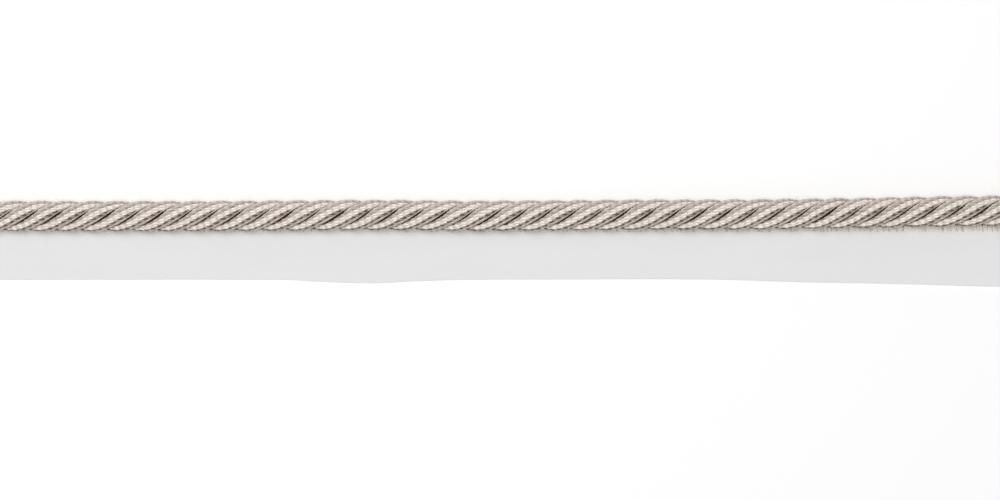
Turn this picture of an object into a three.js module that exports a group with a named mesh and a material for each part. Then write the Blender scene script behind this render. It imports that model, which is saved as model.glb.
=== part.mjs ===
// A cut length of lip cord, the trim that is sewn into the seams of cushions and curtains.
// It is a rope of four twisted strands with a woven tape, the lip, sewn along its side.
// Millimetres. +X runs along the cord, +Y points from the lip to the cord, +Z is up, and both
// pieces lie on Z = 0. The origin is under the middle of the whole trim.
import * as THREE from "three";

// Driving dimensions
const CUT_LENGTH = 340;
const CORD_DIAMETER = 10;
const STRANDS = 4;
const STRAND_PITCH = 8.245; // along the cord, from one strand to the next
const STRAND_DIAMETER = 6; // before the strands are pressed into each other
const FIRST_CREST_DEG = -13; // how far a strand's crest is turned from the top at X = 0
const BEARING_FLAT = 0.25; // how far the cord's lowest yarns are pressed flat
const TAPE_THICKNESS = 1;
const TAPE_GAP = 0.3; // between the tape's sewn edge and the cord's round side

// How finely the shapes are divided
const POINTS_PER_STRAND = 8;
const STEPS_PER_TURN = 12;
const LIP_STATIONS = 40;
const SAMPLES_PER_ROW = 12;

// The cord's route: how far its axis has moved sideways at each place along the length.
const CORD_ROUTE = [
  { x: -170, aside: 0.0 },
  { x: -150, aside: 0.0 },
  { x: -130, aside: -0.05 },
  { x: -110, aside: -0.05 },
  { x: -90, aside: 0.0 },
  { x: -70, aside: 0.15 },
  { x: -50, aside: 0.3 },
  { x: -30, aside: 0.3 },
  { x: -10, aside: 0.05 },
  { x: 10, aside: 0.15 },
  { x: 30, aside: 0.3 },
  { x: 50, aside: 0.45 },
  { x: 70, aside: 0.45 },
  { x: 90, aside: 0.65 },
  { x: 110, aside: 0.9 },
  { x: 130, aside: 1.3 },
  { x: 150, aside: 1.6 },
  { x: 170, aside: 1.7 },
];

// The lip's free edge: its distance from the cord's axis line at each place along the length.
const LIP_EDGE = [
  { x: -170, reach: 20.4 },
  { x: -70, reach: 20.4 },
  { x: -56, reach: 21.1 },
  { x: -40, reach: 21.5 },
  { x: -30, reach: 20.95 },
  { x: -12, reach: 20.4 },
  { x: 20, reach: 20.25 },
  { x: 66, reach: 20.25 },
  { x: 96, reach: 21.1 },
  { x: 120, reach: 21.55 },
  { x: 136, reach: 21.9 },
  { x: 152, reach: 22.4 },
  { x: 170, reach: 22.7 },
];

const CORD_RADIUS = CORD_DIAMETER / 2;
const STRAND_RADIUS = STRAND_DIAMETER / 2;
const STRAND_CENTRE = CORD_RADIUS - STRAND_RADIUS;
const TURN = STRANDS * STRAND_PITCH;
const AXIS_HEIGHT = CORD_RADIUS - BEARING_FLAT;

const cordYarn = new THREE.MeshStandardMaterial({ color: 0xb9ada5, roughness: 0.7, metalness: 0 });
const tapeCotton = new THREE.MeshStandardMaterial({ color: 0xe7e7e7, roughness: 0.9, metalness: 0 });

// A smooth line through a table's rows, read at any place along the length.
function tableCurve(rows, column) {
  const points = rows.map((row) => new THREE.Vector2(row.x, row[column]));
  const samples = new THREE.SplineCurve(points).getPoints(rows.length * SAMPLES_PER_ROW);
  const last = samples.length - 1;
  return (x) => {
    const next = samples.findIndex((point, k) => k > 0 && (point.x >= x || k === last));
    const before = samples[next - 1];
    const after = samples[next];
    const share = (x - before.x) / (after.x - before.x);
    return before.y + share * (after.y - before.y);
  };
}

const cordAside = tableCurve(CORD_ROUTE, "aside");
const lipReach = tableCurve(LIP_EDGE, "reach");

// How far the rope's skin stands from its axis, in a direction turned from a strand's crest:
// each strand is a circle, and its neighbours press into it on both sides.
function ropeRadius(fromCrest) {
  const sideways = STRAND_CENTRE * Math.sin(fromCrest);
  return STRAND_CENTRE * Math.cos(fromCrest) + Math.sqrt(STRAND_RADIUS ** 2 - sideways ** 2);
}

// A closed solid from rings of equal point counts, each ring in the same turning sense, with
// flat ends. Every ring is [x, y, z] points, counterclockwise when seen from its far end.
function closedLoft(rings) {
  const count = rings[0].length;
  const positions = rings.flat(2);
  const faces = [];
  for (let ring = 0; ring + 1 < rings.length; ring += 1) {
    for (let k = 0; k < count; k += 1) {
      const here = ring * count + k;
      const beside = ring * count + ((k + 1) % count);
      faces.push(here, beside, beside + count, here, beside + count, here + count);
    }
  }
  const lastRing = (rings.length - 1) * count;
  const outline = rings[0].map((point) => new THREE.Vector2(point[1], point[2]));
  for (const [a, b, c] of THREE.ShapeUtils.triangulateShape(outline, [])) {
    faces.push(a, c, b);
  }
  const lastOutline = rings.at(-1).map((point) => new THREE.Vector2(point[1], point[2]));
  for (const [a, b, c] of THREE.ShapeUtils.triangulateShape(lastOutline, [])) {
    faces.push(lastRing + a, lastRing + b, lastRing + c);
  }
  const geometry = new THREE.BufferGeometry();
  geometry.setAttribute("position", new THREE.Float32BufferAttribute(positions, 3));
  geometry.setIndex(faces);
  geometry.computeVertexNormals();
  return geometry;
}

// The rope: rings that turn with the strands, so each strand's crest is one unbroken line.
function ropeGeometry() {
  const steps = Math.round((CUT_LENGTH / TURN) * STEPS_PER_TURN);
  const points = STRANDS * POINTS_PER_STRAND;
  const sector = (2 * Math.PI) / STRANDS;
  const rings = [];
  for (let step = 0; step <= steps; step += 1) {
    const x = CUT_LENGTH * (step / steps - 0.5);
    const crest = THREE.MathUtils.degToRad(FIRST_CREST_DEG) + (2 * Math.PI * x) / TURN;
    const ring = [];
    for (let k = 0; k < points; k += 1) {
      const fromCrest = ((k % POINTS_PER_STRAND) / POINTS_PER_STRAND - 0.5) * sector;
      const around = crest + sector / 2 - (2 * Math.PI * k) / points;
      const radius = ropeRadius(fromCrest);
      const y = cordAside(x) + radius * Math.sin(around);
      const z = AXIS_HEIGHT + radius * Math.cos(around);
      ring.push([x, y, Math.max(z, 0)]);
    }
    rings.push(ring);
  }
  return closedLoft(rings);
}

// The lip: a flat woven tape. Its sewn edge lies under the rope's round side and follows it.
function tapeGeometry() {
  const clearRadius = CORD_RADIUS + TAPE_GAP;
  const sewnEdge = Math.sqrt(clearRadius ** 2 - (AXIS_HEIGHT - TAPE_THICKNESS) ** 2);
  const rings = [];
  for (let station = 0; station <= LIP_STATIONS; station += 1) {
    const x = CUT_LENGTH * (station / LIP_STATIONS - 0.5);
    const inner = cordAside(x) - sewnEdge;
    const outer = -lipReach(x);
    rings.push([
      [x, outer, 0],
      [x, inner, 0],
      [x, inner, TAPE_THICKNESS],
      [x, outer, TAPE_THICKNESS],
    ]);
  }
  return closedLoft(rings);
}

const cord = new THREE.Mesh(ropeGeometry(), cordYarn);
cord.name = "cord";

const lipTape = new THREE.Mesh(tapeGeometry(), tapeCotton);
lipTape.name = "lip_tape";

const lipCord = new THREE.Group();
lipCord.add(cord, lipTape);

// The trim is centred on the origin across its width.
const across = new THREE.Box3().setFromObject(lipCord).getCenter(new THREE.Vector3());
lipCord.position.set(0, -across.y, 0);

export default lipCord;
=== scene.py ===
# Lip cord: a rope of four twisted strands with a woven tape, the lip, sewn along its side.
import math
import random

import bpy
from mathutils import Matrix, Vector, noise


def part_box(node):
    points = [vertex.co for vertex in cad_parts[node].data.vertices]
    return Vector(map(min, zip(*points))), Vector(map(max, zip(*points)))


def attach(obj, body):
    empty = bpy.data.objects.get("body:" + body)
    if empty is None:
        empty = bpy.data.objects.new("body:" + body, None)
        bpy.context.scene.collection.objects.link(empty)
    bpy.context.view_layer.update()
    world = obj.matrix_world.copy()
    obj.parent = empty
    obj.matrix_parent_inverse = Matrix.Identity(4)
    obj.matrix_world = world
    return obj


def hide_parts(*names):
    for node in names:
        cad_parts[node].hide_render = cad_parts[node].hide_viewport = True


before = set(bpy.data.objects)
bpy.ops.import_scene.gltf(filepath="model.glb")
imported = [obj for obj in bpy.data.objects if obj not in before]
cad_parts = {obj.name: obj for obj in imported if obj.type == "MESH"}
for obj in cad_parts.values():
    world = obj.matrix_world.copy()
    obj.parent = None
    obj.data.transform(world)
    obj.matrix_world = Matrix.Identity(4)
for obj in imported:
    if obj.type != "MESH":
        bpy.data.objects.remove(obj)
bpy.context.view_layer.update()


# Camera
# The trim lies flat and is seen from straight above, 320 mm of its length across the frame at
# the height of the rope's upper side. The rope lies a little above the middle of the picture.
MM = 0.001
SEEN_LENGTH = 320 * MM
SEEN_HEIGHT = 8 * MM
CAMERA_DISTANCE = 1.6
SENSOR_WIDTH = 36.0
FRAME_BELOW_AXIS = 10.9 * MM
LIP_REACH_AT_END = 22.7 * MM
rope_line_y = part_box("lip_tape")[0][1] + LIP_REACH_AT_END

camera_data = bpy.data.cameras.new("camera")
camera_data.sensor_width = SENSOR_WIDTH
camera_data.lens = SENSOR_WIDTH * CAMERA_DISTANCE / SEEN_LENGTH
camera = bpy.data.objects.new("camera", camera_data)
bpy.context.scene.collection.objects.link(camera)
camera.location = (0, rope_line_y - FRAME_BELOW_AXIS, SEEN_HEIGHT + CAMERA_DISTANCE)
bpy.context.scene.camera = camera


# The rope's strands
# Four strands of cotton and viscose yarn are laid to the left round each other and pressed together.
# Two-ply yarns cover each in three like groups: two off-white, a taupe, two beige and a greige one.
CUT_LENGTH = 340 * MM
CORD_RADIUS = 5.0 * MM
AXIS_HEIGHT = 4.75 * MM
STRANDS = 4
STRAND_PITCH = 8.245 * MM
TURN = STRANDS * STRAND_PITCH
STRAND_RADIUS = 3.0 * MM
STRAND_CENTRE = CORD_RADIUS - STRAND_RADIUS
FIRST_CREST = math.radians(-13)

# A strand turns back by this share as it is laid, so its yarns lean less than it does. Pressed
# flat at the rope's sides, it carries its yarns a little further round, most on the sewn side.
BACK_TURN = 2 / 3
FLATTENED_TURN = math.radians(4)
SEWN_SIDE_TURN = math.radians(10)

# A groove stays open between two strands: the strand above it and the one below each stand back
# by their share from the wall between them. Yarns are made as far round a strand as can be seen.
GROOVE_UPPER_SHARE = 0.15 * MM
GROOVE_LOWER_SHARE = 0.85 * MM
PRESSED_YARN_RADIUS = 0.47 * MM
SEEN_SIDE = math.radians(92)

# The inside of a strand, which shows only in the grooves and at the cuts. Its tube is coloured
# near black as painted shade for the grooves' depths; at the cuts off-white yarn ends show.
CORE_RADIUS = 1.95 * MM
CORE_STEP = 1.5 * MM
CORE_YARN_RADIUS = 0.36 * MM
CORE_YARN_ROWS = 4
CORE_STUB = 1.2 * MM
CORE_STUB_STEPS = 3

# How unevenly the yarns lie: each a greatest amount and the length over which it changes
LAY_UNEVEN = math.radians(3)
LAY_UNEVEN_LENGTH = 30 * MM
PLACE_UNEVEN = math.radians(3)
REACH_UNEVEN = 0.07 * MM
YARN_UNEVEN_LENGTH = 8 * MM
TWIST_UNEVEN = math.radians(50)
TWIST_UNEVEN_LENGTH = 12 * MM
THICK_AND_THIN = 0.4
THICK_AND_THIN_LENGTH = 1.3 * MM

# Each uneven thing reads its own row of smooth chance values: first the strands' lay, then for
# each strand the places of its yarns, and further on their reach and their twist
CHANCE_GAIN = 1.6
CHANCE_ROW_GAP = 7.3
CHANCE_LEVEL = 2.1
LAY_ROW = 1
ROWS_PER_STRAND = 10
REACH_ROW = 50
TWIST_ROW = 90

# The cord's route: how far its axis has moved sideways at each place along the length, in mm
CORD_ROUTE = [
    (-170, 0.0),
    (-150, 0.0),
    (-130, -0.05),
    (-110, -0.05),
    (-90, 0.0),
    (-70, 0.15),
    (-50, 0.3),
    (-30, 0.3),
    (-10, 0.05),
    (10, 0.15),
    (30, 0.3),
    (50, 0.45),
    (70, 0.45),
    (90, 0.65),
    (110, 0.9),
    (130, 1.3),
    (150, 1.6),
    (170, 1.7),
]

# The yarns of one group: the place round the strand in degrees, the two plies' colours, the
# plies' radius and how far each ply's middle is from the yarn's middle, in mm. A ply's colour is
# its place in the list strand_yarns.
GROUPS = 3
WHITE_PLY = 0
CREAM_PLY = 1
BEIGE_PLY = 2
GREIGE_PLY = 3
TAN_PLY = 4
TAUPE_PLY = 5
# The last is no ply but the strands' inside, coloured as painted shade for the grooves
PAINTED_SHADE_PLY = 6
GROUP_YARNS = [
    (45, CREAM_PLY, BEIGE_PLY, 0.31, 0.16),
    (25, BEIGE_PLY, GREIGE_PLY, 0.33, 0.16),
    (4, WHITE_PLY, CREAM_PLY, 0.35, 0.24),
    (-14, WHITE_PLY, CREAM_PLY, 0.35, 0.24),
    (-34, TAN_PLY, TAUPE_PLY, 0.41, 0.23),
    (-54, CREAM_PLY, BEIGE_PLY, 0.29, 0.16),
]

# How often a yarn's two plies go round each other in one turn of the rope, where each starts as
# a share of a round, and how fine their tubes are along one turn and across
TWISTS_PER_TURN = 16
PLY_STARTS = (0.0, 0.5)
PLY_STEPS_PER_TURN = 80
YARN_ROUNDNESS = 1


def smooth_between(rows, x):
    """The value at x of a smooth line through the rows, each a place and a value."""
    last = len(rows) - 2
    k = min(last, max(0, next((i for i, row in enumerate(rows) if row[0] > x), last + 1) - 1))
    here, after = rows[k], rows[k + 1]
    before = rows[max(0, k - 1)]
    beyond = rows[min(len(rows) - 1, k + 2)]
    span = after[0] - here[0]
    slope_here = (after[1] - before[1]) / (after[0] - before[0]) * span
    slope_after = (beyond[1] - here[1]) / (beyond[0] - here[0]) * span
    t = (x - here[0]) / span
    return (
        here[1] * (2 * t**3 - 3 * t**2 + 1)
        + slope_here * (t**3 - 2 * t**2 + t)
        + after[1] * (3 * t**2 - 2 * t**3)
        + slope_after * (t**3 - t**2)
    )


def rope_axis(x):
    """The middle of the rope at x."""
    aside = smooth_between(CORD_ROUTE, x / MM) * MM
    return Vector((x, rope_line_y + aside, AXIS_HEIGHT))


def ways_at(angle):
    """The way out of the rope at an angle from its top, towards +Y, and the way beside it."""
    out = Vector((0, math.sin(angle), math.cos(angle)))
    side = Vector((0, math.cos(angle), -math.sin(angle)))
    return out, side


def uneven(x, length, row):
    """A smooth chance value from about -1 to 1 that changes along x, another for each row."""
    return CHANCE_GAIN * noise.noise(Vector((x / length, CHANCE_ROW_GAP * row, CHANCE_LEVEL)))


def crest_angle(strand, x):
    """How far a strand's crest is turned from the top of the rope, towards +Y."""
    even = FIRST_CREST + 2 * math.pi * (x / TURN - strand / STRANDS)
    return even + LAY_UNEVEN * uneven(x, LAY_UNEVEN_LENGTH, strand + LAY_ROW)


def yarn_middle(strand, place, yarn_radius, x):
    """A cover yarn's middle at x, the way out from its strand there, and its place's angle."""
    crest = crest_angle(strand, x)
    row = ROWS_PER_STRAND * strand + place
    on_strand = math.remainder(place - BACK_TURN * crest, 2 * math.pi)
    on_strand += (FLATTENED_TURN if math.sin(crest) > 0 else SEWN_SIDE_TURN) * math.sin(crest)
    on_strand += PLACE_UNEVEN * uneven(x, YARN_UNEVEN_LENGTH, row)
    reach = STRAND_RADIUS - yarn_radius
    reach += REACH_UNEVEN * uneven(x, YARN_UNEVEN_LENGTH, row + REACH_ROW)
    outward = STRAND_CENTRE + reach * math.cos(on_strand)
    sideways = reach * math.sin(on_strand)
    # The strand keeps to its quarter of the rope, between walls that stand at 45 degrees
    clearance = min(yarn_radius, PRESSED_YARN_RADIUS)
    clearance += GROOVE_UPPER_SHARE if on_strand < 0 else GROOVE_LOWER_SHARE
    wall = max(0.0, outward - clearance * math.sqrt(2))
    sideways = max(-wall, min(wall, sideways))
    up, side = ways_at(crest)
    out = ways_at(crest + on_strand)[0]
    return rope_axis(x) + up * outward + side * sideways, out, on_strand


def inside_strand(strand, x, outward, sideways):
    """A point at x inside a strand, outward and sideways from the strand's own middle."""
    up, side = ways_at(crest_angle(strand, x))
    return rope_axis(x) + up * (STRAND_CENTRE + outward) + side * sideways


def core_yarn_places():
    """Where the core's yarns end at the cut, in close rows, each outward and sideways."""
    places = []
    rows = range(-CORE_YARN_ROWS, CORE_YARN_ROWS + 1)
    for row in rows:
        for column in rows:
            outward = row * CORE_YARN_RADIUS * math.sqrt(3)
            sideways = (2 * column + row % 2) * CORE_YARN_RADIUS
            room = STRAND_CENTRE + outward - CORE_YARN_RADIUS
            if math.hypot(outward, sideways) < CORE_RADIUS and abs(sideways) < room:
                places.append((outward, sideways))
    return places


def seen_runs(strand, place, start, ply_radius, offset, steps):
    """The runs of one ply where its yarn lies on the strand's open side, as lists of points."""
    runs = []
    run = []
    yarn_radius = ply_radius + offset
    row = ROWS_PER_STRAND * strand + place + TWIST_ROW
    for step in range(steps + 1):
        x = CUT_LENGTH * (step / steps - 0.5)
        middle, out, on_strand = yarn_middle(strand, place, yarn_radius, x)
        if abs(on_strand) > SEEN_SIDE:
            if len(run) > 1:
                runs.append(run)
            run = []
            continue
        crest = crest_angle(strand, x)
        lean = 2 * math.pi / TURN
        turn_share = (1 - BACK_TURN) * (STRAND_RADIUS - yarn_radius)
        along = Vector((
            1,
            lean * (STRAND_CENTRE * math.cos(crest) + turn_share * out.z),
            -lean * (STRAND_CENTRE * math.sin(crest) + turn_share * out.y),
        )).normalized()
        beside = along.cross(out)
        twist = start * 2 * math.pi + TWISTS_PER_TURN * crest
        twist += TWIST_UNEVEN * uneven(x, TWIST_UNEVEN_LENGTH, row)
        point = middle + (out * math.cos(twist) + beside * math.sin(twist)) * offset
        point.z = max(point.z, ply_radius)
        run.append(point)
    if len(run) > 1:
        runs.append(run)
    return runs


def spun_radius(point, radius):
    """A ply's radius at a point: spun yarn has thick and thin places, but lies on the surface."""
    thickness = radius * (1 + THICK_AND_THIN * noise.noise(point / THICK_AND_THIN_LENGTH))
    return min(thickness, point.z)


def add_tube_curve(name, roundness, materials):
    """An empty curve object whose splines become round tubes."""
    data = bpy.data.curves.new(name, "CURVE")
    data.dimensions = "3D"
    data.bevel_depth = 1.0
    data.bevel_resolution = roundness
    data.use_fill_caps = True
    for material in materials:
        data.materials.append(material)
    obj = bpy.data.objects.new(name, data)
    bpy.context.scene.collection.objects.link(obj)
    return obj


def add_tube(obj, points, radii, material_index=0):
    """Adds one tube through the points, with a radius for each."""
    spline = obj.data.splines.new("POLY")
    spline.points.add(len(points) - 1)
    spline.points.foreach_set("co", [value for p in points for value in (p.x, p.y, p.z, 1.0)])
    spline.points.foreach_set("radius", radii)
    spline.material_index = material_index
    spline.use_smooth = True


def select_only(obj):
    """Selects one object, because an operator acts on all that is selected."""
    bpy.ops.object.select_all(action="DESELECT")
    obj.select_set(True)
    bpy.context.view_layer.objects.active = obj


def tubes_to_mesh(obj):
    """Turns the finished tubes into a mesh, as the Convert command does."""
    select_only(obj)
    bpy.ops.object.convert(target="MESH")


def colour_between_tones(material, level, colour, spread):
    """Colours a material from a deeper to a paler tone, as its level rises."""
    links = material.node_tree.links
    shade = material.node_tree.nodes.new("ShaderNodeMix")
    shade.data_type = "RGBA"
    shade.inputs["A"].default_value = (*[c * (1 - spread) for c in colour], 1)
    shade.inputs["B"].default_value = (*[min(1, c * (1 + spread)) for c in colour], 1)
    links.new(level, shade.inputs["Factor"])
    shader = material.node_tree.nodes["Principled BSDF"]
    links.new(shade.outputs["Result"], shader.inputs["Base Color"])


# The yarns' colours, and their surface: a soft shine and a dye that is a little uneven
OFF_WHITE = (0.88, 0.82, 0.77)
CREAM = (0.66, 0.585, 0.53)
BEIGE = (0.52, 0.445, 0.39)
GREIGE = (0.34, 0.295, 0.265)
TAN = (0.34, 0.265, 0.22)
TAUPE = (0.105, 0.068, 0.053)
# SHADOW_BROWN is painted shade, not a yarn: the colour of the strands' insides, dark as the deep
# grooves' shadow
SHADOW_BROWN = (0.05, 0.023, 0.01)
YARN_ROUGHNESS = 0.55
YARN_SHEEN = 0.45
YARN_SHEEN_ROUGHNESS = 0.4
DYE_SPOT_SCALE = 900
DYE_SPOT_DETAIL = 3


def yarn_material(name, colour, dye_spread):
    """Twisted fibre with a soft shine, its dye a little uneven in fine spots."""
    material = bpy.data.materials.new(name)
    material.use_nodes = True
    nodes = material.node_tree.nodes
    shader = nodes["Principled BSDF"]
    shader.inputs["Roughness"].default_value = YARN_ROUGHNESS
    shader.inputs["Sheen Weight"].default_value = YARN_SHEEN
    shader.inputs["Sheen Roughness"].default_value = YARN_SHEEN_ROUGHNESS
    place = nodes.new("ShaderNodeTexCoord")
    dye = nodes.new("ShaderNodeTexNoise")
    dye.inputs["Scale"].default_value = DYE_SPOT_SCALE
    dye.inputs["Detail"].default_value = DYE_SPOT_DETAIL
    material.node_tree.links.new(place.outputs["Object"], dye.inputs["Vector"])
    colour_between_tones(material, dye.outputs["Fac"], colour, dye_spread)
    return material


white_yarn = yarn_material("off_white_yarn", OFF_WHITE, dye_spread=0.1)
cream_yarn = yarn_material("cream_yarn", CREAM, dye_spread=0.15)
beige_yarn = yarn_material("beige_yarn", BEIGE, dye_spread=0.2)
greige_yarn = yarn_material("greige_yarn", GREIGE, dye_spread=0.2)
tan_yarn = yarn_material("tan_yarn", TAN, dye_spread=0.2)
taupe_yarn = yarn_material("taupe_yarn", TAUPE, dye_spread=0.3)

# The inside of a strand lies deep in the grooves: its colour is painted shade for them, and it has
# no shine at all
painted_shade_core = yarn_material("strand_core_painted_shade", SHADOW_BROWN, dye_spread=0.2)
painted_shade_core_shader = painted_shade_core.node_tree.nodes["Principled BSDF"]
painted_shade_core_shader.inputs["Roughness"].default_value = 1.0
painted_shade_core_shader.inputs["Sheen Weight"].default_value = 0.0
painted_shade_core_shader.inputs["Specular IOR Level"].default_value = 0.0

ply_steps = round(CUT_LENGTH / TURN * PLY_STEPS_PER_TURN)
core_steps = round(CUT_LENGTH / CORE_STEP)
core_length = CUT_LENGTH - 2 * CORE_STUB
strand_yarns = [white_yarn, cream_yarn, beige_yarn, greige_yarn, tan_yarn, taupe_yarn, painted_shade_core]
for strand in range(STRANDS):
    piece = add_tube_curve(f"strand_{strand + 1}", YARN_ROUNDNESS, strand_yarns)
    for group in range(GROUPS):
        for degrees, first_ply, second_ply, radius_mm, offset_mm in GROUP_YARNS:
            place = math.radians(degrees + 360 / GROUPS * group)
            radius = radius_mm * MM
            offset = offset_mm * MM
            for start, ply in zip(PLY_STARTS, (first_ply, second_ply)):
                for run in seen_runs(strand, place, start, radius, offset, ply_steps):
                    add_tube(piece, run, [spun_radius(p, radius) for p in run], ply)
    # The core is one tube in painted shade, which fills each strand's inside and shows dark in the
    # grooves
    core_line = []
    for step in range(core_steps + 1):
        x = core_length * (step / core_steps - 0.5)
        core_line.append(inside_strand(strand, x, 0, 0))
    add_tube(piece, core_line, [CORE_RADIUS] * len(core_line), PAINTED_SHADE_PLY)
    for outward, sideways in core_yarn_places():
        for end in (-1, 1):
            stub = []
            for step in range(CORE_STUB_STEPS + 1):
                x = end * (CUT_LENGTH / 2 - 2 * CORE_STUB * (1 - step / CORE_STUB_STEPS))
                stub.append(inside_strand(strand, x, outward, sideways))
            add_tube(piece, stub, [CORE_YARN_RADIUS] * len(stub), WHITE_PLY)
    tubes_to_mesh(piece)
    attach(piece, "root")
    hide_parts("cord")


# The filler yarns
# One fine two-ply beige yarn runs down each groove between two strands, against the upper
# strand's side, and keeps the groove from closing.
FILLER_PLY_RADIUS = 0.15 * MM
FILLER_PLY_OFFSET = 0.13 * MM
FILLER_PLACE = 3.65 * MM
FILLER_ANGLE = math.radians(-43.5)
FILLER_ROW = 200

filler = add_tube_curve("filler_yarns", YARN_ROUNDNESS, [beige_yarn])
for strand in range(STRANDS):
    for start in PLY_STARTS:
        filler_line = []
        for step in range(ply_steps + 1):
            x = CUT_LENGTH * (step / ply_steps - 0.5)
            crest = crest_angle(strand, x)
            out, side = ways_at(crest + FILLER_ANGLE)
            place = FILLER_PLACE
            place += REACH_UNEVEN * uneven(x, YARN_UNEVEN_LENGTH, strand + FILLER_ROW)
            twist = start * 2 * math.pi + TWISTS_PER_TURN * crest
            point = rope_axis(x) + out * (place + FILLER_PLY_OFFSET * math.cos(twist))
            point += side * FILLER_PLY_OFFSET * math.sin(twist)
            point.z = max(point.z, FILLER_PLY_RADIUS)
            filler_line.append(point)
        add_tube(filler, filler_line, [FILLER_PLY_RADIUS] * len(filler_line))
tubes_to_mesh(filler)
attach(filler, "root")
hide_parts("cord")


# The loose fibres
# Short ends of fibre stand off the twisted yarns all along the rope, as on any spun yarn. With
# them the rope is complete.
FIBRE_COUNT = 900
FIBRE_RADIUS = 0.022 * MM
FIBRE_STEPS = 5
FIBRE_ROUNDNESS = 0
FIBRE_ROOT_DEPTH = 0.1 * MM
FIBRE_SEED = 23

# How the fibres differ: their place in shares of the length, their place round the strand and
# their aim in degrees, and their length, lift and bend
FIBRE_PLACES = (-0.49, 0.49)
FIBRE_SIDES = (-75, 75)
FIBRE_AIMS = (-60, 60)
FIBRE_LENGTHS = (0.8 * MM, 2.4 * MM)
FIBRE_LIFTS = (0.25 * MM, 0.8 * MM)
FIBRE_BENDS = (-0.4 * MM, 0.4 * MM)

fibre_yarns = [white_yarn, cream_yarn, beige_yarn]
fibres = add_tube_curve("loose_fibres", FIBRE_ROUNDNESS, fibre_yarns)
root_radius = STRAND_RADIUS - FIBRE_ROOT_DEPTH
random.seed(FIBRE_SEED)
for fibre in range(FIBRE_COUNT):
    strand = random.randrange(STRANDS)
    x = CUT_LENGTH * random.uniform(*FIBRE_PLACES)
    on_strand = math.radians(random.uniform(*FIBRE_SIDES))
    out, side = ways_at(crest_angle(strand, x) + on_strand)
    root = inside_strand(
        strand, x, root_radius * math.cos(on_strand), root_radius * math.sin(on_strand)
    )
    aim = math.radians(random.uniform(*FIBRE_AIMS))
    along = Vector((math.cos(aim), 0, 0)) + side * math.sin(aim)
    along *= random.choice((-1, 1)) * random.uniform(*FIBRE_LENGTHS)
    lift = random.uniform(*FIBRE_LIFTS)
    bend = random.uniform(*FIBRE_BENDS)
    line = []
    for step in range(FIBRE_STEPS + 1):
        t = step / FIBRE_STEPS
        point = root + along * t + out * lift * (1 - (1 - t) ** 2)
        point += Vector((0, bend, 0)) * t * t
        point.z = max(point.z, FIBRE_RADIUS)
        line.append(point)
    add_tube(fibres, line, [FIBRE_RADIUS] * len(line), random.randrange(len(fibre_yarns)))
tubes_to_mesh(fibres)
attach(fibres, "root")
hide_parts("cord")


# The lip
# A tape of close cotton plain weave lies flat. Its sewn edge is under the rope's side, where the
# stitches hold it, and its free edge runs a little unevenly.
TAPE_THICKNESS = 0.55 * MM
SOLID_TAPE_THICKNESS = 1.0 * MM
TAPE_GAP = 0.3 * MM
TAPE_STATIONS = 170
TAPE_ROWS = 12

# The free edge: how far it is from the rope's line at each place along the length, in mm
LIP_EDGE = [
    (-170, 20.4),
    (-70, 20.4),
    (-56, 21.1),
    (-40, 21.5),
    (-30, 20.95),
    (-12, 20.4),
    (20, 20.25),
    (66, 20.25),
    (96, 21.1),
    (120, 21.55),
    (136, 21.9),
    (152, 22.4),
    (170, 22.7),
]

# The sewn edge is where the solid tape's upper edge keeps the gap to the round rope
sewn_edge = math.sqrt((CORD_RADIUS + TAPE_GAP) ** 2 - (AXIS_HEIGHT - SOLID_TAPE_THICKNESS) ** 2)
verts = []
faces = []
for station in range(TAPE_STATIONS + 1):
    x = CUT_LENGTH * (station / TAPE_STATIONS - 0.5)
    inner = rope_axis(x).y - sewn_edge
    outer = rope_line_y - smooth_between(LIP_EDGE, x / MM) * MM
    for row in range(TAPE_ROWS + 1):
        verts.append((x, outer + (inner - outer) * row / TAPE_ROWS, TAPE_THICKNESS))
for station in range(TAPE_STATIONS):
    for row in range(TAPE_ROWS):
        a = station * (TAPE_ROWS + 1) + row
        faces.append((a, a + TAPE_ROWS + 1, a + TAPE_ROWS + 2, a + 1))
mesh = bpy.data.meshes.new("lip_tape_cloth")
mesh.from_pydata(verts, [], faces)
tape = bpy.data.objects.new("lip_tape_cloth", mesh)
bpy.context.scene.collection.objects.link(tape)
select_only(tape)
wall = tape.modifiers.new("wall", "SOLIDIFY")
wall.thickness = TAPE_THICKNESS
wall.offset = -1
bpy.ops.object.modifier_apply(modifier=wall.name)

# The cotton: its colour, its threads, how much they differ in shade, how far the weave's crossings
# are raised, and how much painted shade darkens its low places and lightens its raised ones
TAPE_GREY = (0.76, 0.76, 0.765)
TAPE_SHADE_SPREAD = 0.035
TAPE_ROUGHNESS = 0.9
TAPE_SHEEN = 0.1
THREAD_PITCH = 0.3 * MM
THREAD_SHADE_SCALE = 120
THREAD_SHADE_DETAIL = 4
THREAD_SHADE_STRETCH = (0.15, 1, 1)
PAINTED_CROSSING_SHADE = 0.12
CROSSING_HEIGHT = 0.1 * MM
CROSSING_STRENGTH = 0.4


def maths(material, operation, first, second):
    """The result of a Math node on two values, each a number or another node's result."""
    node = material.node_tree.nodes.new("ShaderNodeMath")
    node.operation = operation
    for socket, value in zip(node.inputs, (first, second)):
        if isinstance(value, float):
            socket.default_value = value
        else:
            material.node_tree.links.new(value, socket)
    return node.outputs["Value"]


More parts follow.
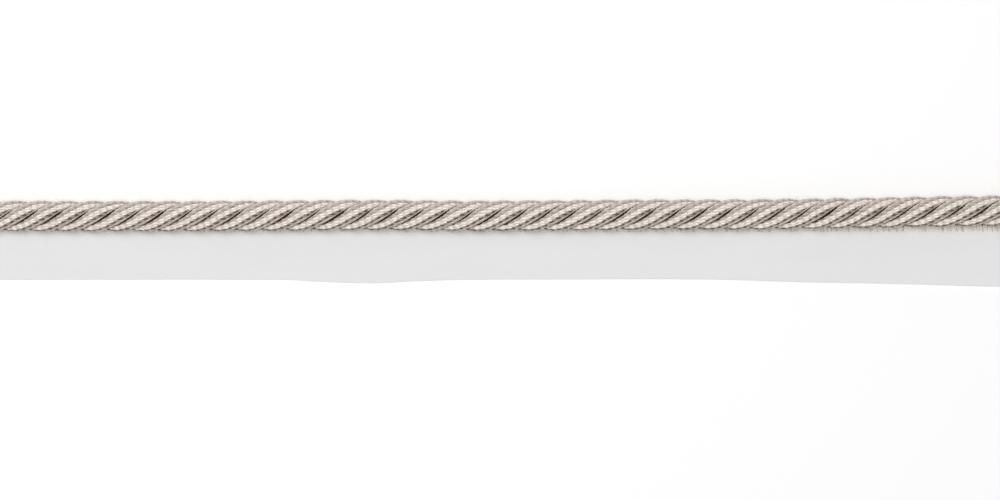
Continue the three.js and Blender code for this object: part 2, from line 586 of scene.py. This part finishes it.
def woven_cotton(name, colour):
    """Close plain weave: rows of raised crossings with painted shade in their low places, uneven
    threads and a matt surface.
    """
    material = bpy.data.materials.new(name)
    material.use_nodes = True
    nodes = material.node_tree.nodes
    links = material.node_tree.links
    shader = nodes["Principled BSDF"]
    shader.inputs["Roughness"].default_value = TAPE_ROUGHNESS
    shader.inputs["Sheen Weight"].default_value = TAPE_SHEEN
    place = nodes.new("ShaderNodeTexCoord")
    axes = nodes.new("ShaderNodeSeparateXYZ")
    links.new(place.outputs["Object"], axes.inputs["Vector"])
    waves = []
    for axis in ("X", "Y"):
        angle = maths(material, "MULTIPLY", axes.outputs[axis], math.pi / THREAD_PITCH)
        waves.append(maths(material, "SINE", angle, 0.0))
    crossing = maths(material, "MULTIPLY", waves[0], waves[1])
    threads = nodes.new("ShaderNodeTexNoise")
    threads.inputs["Scale"].default_value = THREAD_SHADE_SCALE
    threads.inputs["Detail"].default_value = THREAD_SHADE_DETAIL
    stretch = nodes.new("ShaderNodeMapping")
    stretch.inputs["Scale"].default_value = THREAD_SHADE_STRETCH
    links.new(place.outputs["Object"], stretch.inputs["Vector"])
    links.new(stretch.outputs["Vector"], threads.inputs["Vector"])
    # Painted shade: the weave's low places are coloured darker and its raised crossings paler
    crossing_painted_shade = maths(material, "MULTIPLY", crossing, PAINTED_CROSSING_SHADE)
    level = maths(material, "ADD", threads.outputs["Fac"], crossing_painted_shade)
    colour_between_tones(material, level, colour, TAPE_SHADE_SPREAD)
    bump = nodes.new("ShaderNodeBump")
    bump.inputs["Strength"].default_value = CROSSING_STRENGTH
    bump.inputs["Distance"].default_value = CROSSING_HEIGHT
    links.new(crossing, bump.inputs["Height"])
    links.new(bump.outputs["Normal"], shader.inputs["Normal"])
    return material


tape.data.materials.append(woven_cotton("tape_cotton", TAPE_GREY))
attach(tape, "root")
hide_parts("lip_tape")


# The sewing
# Close overcast stitches of off-white and cream yarn join the tape to the rope. Each goes into the
# tape near one straight line and up into the rope's side, and most of it is hidden under the rope.
STITCH_PITCH = 0.42 * MM
STITCH_RADIUS = 0.22 * MM
STITCH_STEPS = 6
STITCHES_LEFT_OUT = 2
STITCH_SEED = 11

# A stitch comes up out of the tape at the stitch line, bends over to lie on it, and rises to its
# hold in the rope's side. The line is measured from the rope's line, the hold from its axis.
STITCH_LINE = 5.0 * MM
STITCH_UNEVEN = 0.2 * MM
STITCH_HOLD = 3.5 * MM
STITCH_RISE = 1.75 * MM
STITCH_BEND = 6

# How the stitches differ: their shift and lean in stitch pitches, their thickness as a share, and
# their yarn, which is cream in one stitch of six
STITCH_SHIFTS = (-0.1, 0.1)
STITCH_LEANS = (1.1, 1.7)
STITCH_THICKNESSES = (0.9, 1.15)
STITCH_YARNS = (0, 0, 0, 0, 0, 1)

sewing = add_tube_curve("sewing", YARN_ROUNDNESS, [white_yarn, cream_yarn])
random.seed(STITCH_SEED)
stitch_count = int(CUT_LENGTH / STITCH_PITCH) - STITCHES_LEFT_OUT
for stitch in range(stitch_count):
    x = STITCH_PITCH * (stitch - (stitch_count - 1) / 2 + random.uniform(*STITCH_SHIFTS))
    outer = rope_line_y - STITCH_LINE - STITCH_UNEVEN * random.random()
    inner = rope_axis(x).y - STITCH_HOLD
    lean = -STITCH_PITCH * random.uniform(*STITCH_LEANS)
    stitch_line = []
    for step in range(STITCH_STEPS + 1):
        t = step / STITCH_STEPS
        height = TAPE_THICKNESS + STITCH_RADIUS * (1 - 2 * (1 - t) ** STITCH_BEND)
        height += STITCH_RISE * t * t
        stitch_line.append(Vector((x + lean * t, outer + (inner - outer) * t, height)))
    radius = STITCH_RADIUS * random.uniform(*STITCH_THICKNESSES)
    add_tube(sewing, stitch_line, [radius] * len(stitch_line), random.choice(STITCH_YARNS))
tubes_to_mesh(sewing)
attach(sewing, "root")
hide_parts("cord")


# Floor and light
# The trim lies on a plain white floor, under a pale sky and one wide soft light that stands high
# up, behind the rope and a little to the left.
FLOOR_SIZE = 6.0
FLOOR_WHITE = (0.95, 0.95, 0.95)
FLOOR_ROUGHNESS = 0.9
bpy.ops.object.select_all(action="DESELECT")
bpy.ops.mesh.primitive_plane_add(size=FLOOR_SIZE, location=(0, 0, 0))
floor = bpy.context.object
floor.name = "floor"
floor_paint = bpy.data.materials.new("floor_paint")
floor_paint.use_nodes = True
floor_shader = floor_paint.node_tree.nodes["Principled BSDF"]
floor_shader.inputs["Base Color"].default_value = (*FLOOR_WHITE, 1)
floor_shader.inputs["Roughness"].default_value = FLOOR_ROUGHNESS
floor.data.materials.append(floor_paint)

SOFTBOX_SIZE = 0.85
SOFTBOX_POWER = 17.3
SOFTBOX_PLACE = (-0.2, 0.22, 1.45)
softbox_data = bpy.data.lights.new("softbox", "AREA")
softbox_data.shape = "SQUARE"
softbox_data.size = SOFTBOX_SIZE
softbox_data.energy = SOFTBOX_POWER
softbox = bpy.data.objects.new("softbox", softbox_data)
softbox.location = SOFTBOX_PLACE
softbox.rotation_euler = (-Vector(SOFTBOX_PLACE)).to_track_quat("-Z", "Y").to_euler()
bpy.context.scene.collection.objects.link(softbox)

SKY_STRENGTH = 0.37
world = bpy.data.worlds.new("sky")
world.use_nodes = True
sky = world.node_tree.nodes["Background"]
sky.inputs["Color"].default_value = (1, 1, 1, 1)
sky.inputs["Strength"].default_value = SKY_STRENGTH
bpy.context.scene.world = world
bpy.context.scene.view_settings.view_transform = "Standard"
